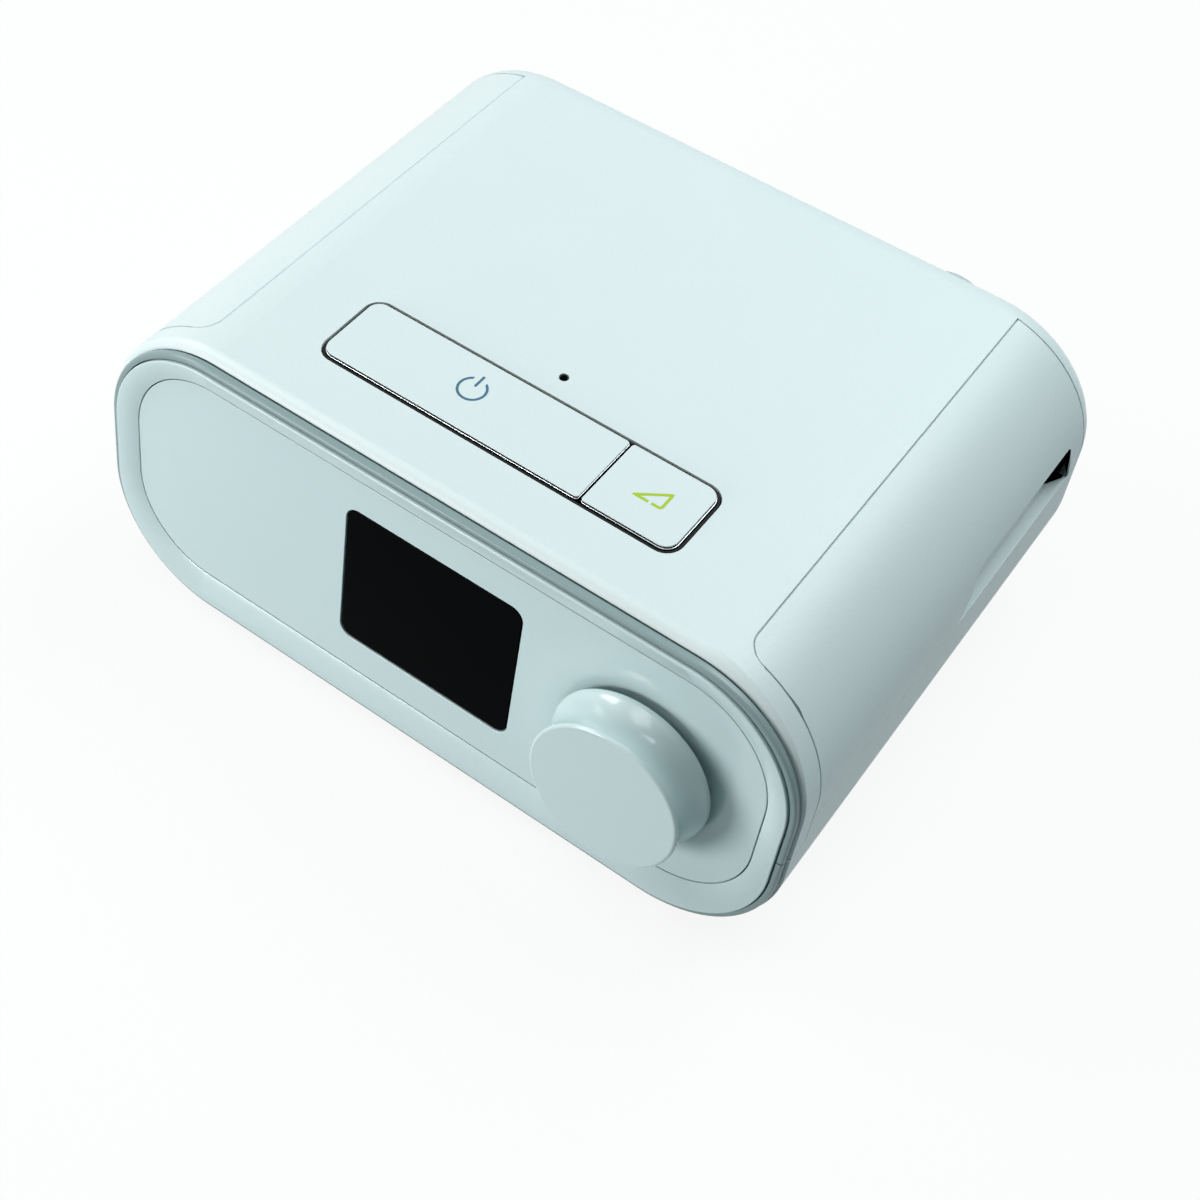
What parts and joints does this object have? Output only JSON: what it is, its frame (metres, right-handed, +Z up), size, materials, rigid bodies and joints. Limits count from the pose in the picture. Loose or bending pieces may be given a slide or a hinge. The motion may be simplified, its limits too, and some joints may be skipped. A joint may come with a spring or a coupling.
{
  "type": "cpap machine",
  "caption": "Bedside breathing machine: low rounded box with a leaning front holding a colour screen and press-and-turn dial, flush top buttons and lift-up side doors.",
  "frame": {"origin": "centre of the underside of the bounding box, on the table", "axes": "+X to the right seen from the front, +Y towards the back with the hose port, +Z up"},
  "size_m": [0.193, 0.165, 0.0848],
  "materials": {
    "white_case": "fine matte texture",
    "white_gloss": "glossy",
    "trim_grey": "satin",
    "black_gloss": "polished",
    "black_plastic": "satin",
    "chrome_trim": "bright plated",
    "grey_plastic": "moulded satin",
    "blue_filter": "fine fibre",
    "dark_foam": "open-cell foam",
    "circuit_board": "satin solder resist",
    "steel": "machined",
    "copper_winding": "enamelled wire",
    "rubber": "matte",
    "silicone": "soft matte"
  },
  "bodies": {
    "machine": {"upper_housing": "white_case", "lower_housing": "white_case", "rear_panel": "grey_plastic", "upper_trim_band": "trim_grey", "lower_trim_band": "trim_grey", "front_bezel": "white_gloss", "front_panel": "white_gloss", "display_window": "black_gloss", "display_module": "steel", "front_board": "circuit_board", "encoder_body": "black_plastic", "button_tray": "black_plastic", "power_switch": "steel", "ramp_switch": "steel", "button_board": "circuit_board", "light_sensor_window": "black_gloss", "filter_door_front_pin": "steel", "filter_door_rear_pin": "steel", "accessory_door_front_pin": "steel", "accessory_door_rear_pin": "steel", "inner_frame": "grey_plastic", "filter_frame": "grey_plastic", "pollen_filter": "blue_filter", "inlet_scoop": "white_case", "memory_card": "black_plastic", "card_socket": "steel", "accessory_cover": "grey_plastic", "blower_base": "grey_plastic", "blower_cover": "grey_plastic", "motor_stator": "copper_winding", "motor_bearing": "steel", "blower_damper": "silicone", "silencer_foam": "dark_foam", "outlet_duct": "silicone", "air_outlet_port": "grey_plastic", "power_inlet": "black_plastic", "humidifier_connector": "black_plastic", "main_board": "circuit_board", "front_left_foot": "rubber", "front_left_screw": "steel", "rear_left_foot": "rubber", "rear_left_screw": "steel", "front_right_foot": "rubber", "front_right_screw": "steel", "rear_right_foot": "rubber", "rear_right_screw": "steel"},
    "filter_door_body": {"filter_door": "white_case"},
    "accessory_door_body": {"accessory_door": "white_case"},
    "power_button_body": {"power_button": "white_case", "power_button_trim": "chrome_trim", "power_switch_plunger": "black_plastic"},
    "ramp_button_body": {"ramp_button": "white_case", "ramp_button_trim": "chrome_trim", "ramp_switch_plunger": "black_plastic"},
    "dial_press_body": {"dial_plunger": "black_plastic"},
    "dial_body": {"control_dial": "white_gloss", "dial_shaft": "steel"},
    "impeller_body": {"impeller": "white_case", "motor_shaft": "steel", "motor_rotor": "rubber"}
  },
  "joints": [
    {"name": "filter_door_hinge", "type": "hinge", "parent": "machine", "child": "filter_door_body", "pos_m": [0.079, 0.00451, 0.074], "axis": [0, -1, 0], "range_deg": [0, 75]},
    {"name": "accessory_door_hinge", "type": "hinge", "parent": "machine", "child": "accessory_door_body", "pos_m": [-0.079, 0.00451, 0.074], "axis": [0, 1, 0], "range_deg": [0, 75]},
    {"name": "power_button_press", "type": "slide", "parent": "machine", "child": "power_button_body", "axis": [0, 0, -1], "range_m": [0, 0.0008], "stiffness_N_per_m": 1600, "springref_m": -0.0003},
    {"name": "ramp_button_press", "type": "slide", "parent": "machine", "child": "ramp_button_body", "axis": [0, 0, -1], "range_m": [0, 0.0008], "stiffness_N_per_m": 1600, "springref_m": -0.0003},
    {"name": "dial_press", "type": "slide", "parent": "machine", "child": "dial_press_body", "axis": [0, 0.9917, -0.1288], "range_m": [0, 0.0008], "stiffness_N_per_m": 2200, "springref_m": -0.0003},
    {"name": "dial_turn", "type": "hinge", "parent": "dial_press_body", "child": "dial_body", "pos_m": [0.0572, -0.06925, 0.04286], "axis": [0, -0.9917, 0.1288], "continuous": true},
    {"name": "impeller_spin", "type": "hinge", "parent": "machine", "child": "impeller_body", "pos_m": [0.006, -0.00449, 0.04], "axis": [0, 0, 1], "continuous": true}
  ]
}
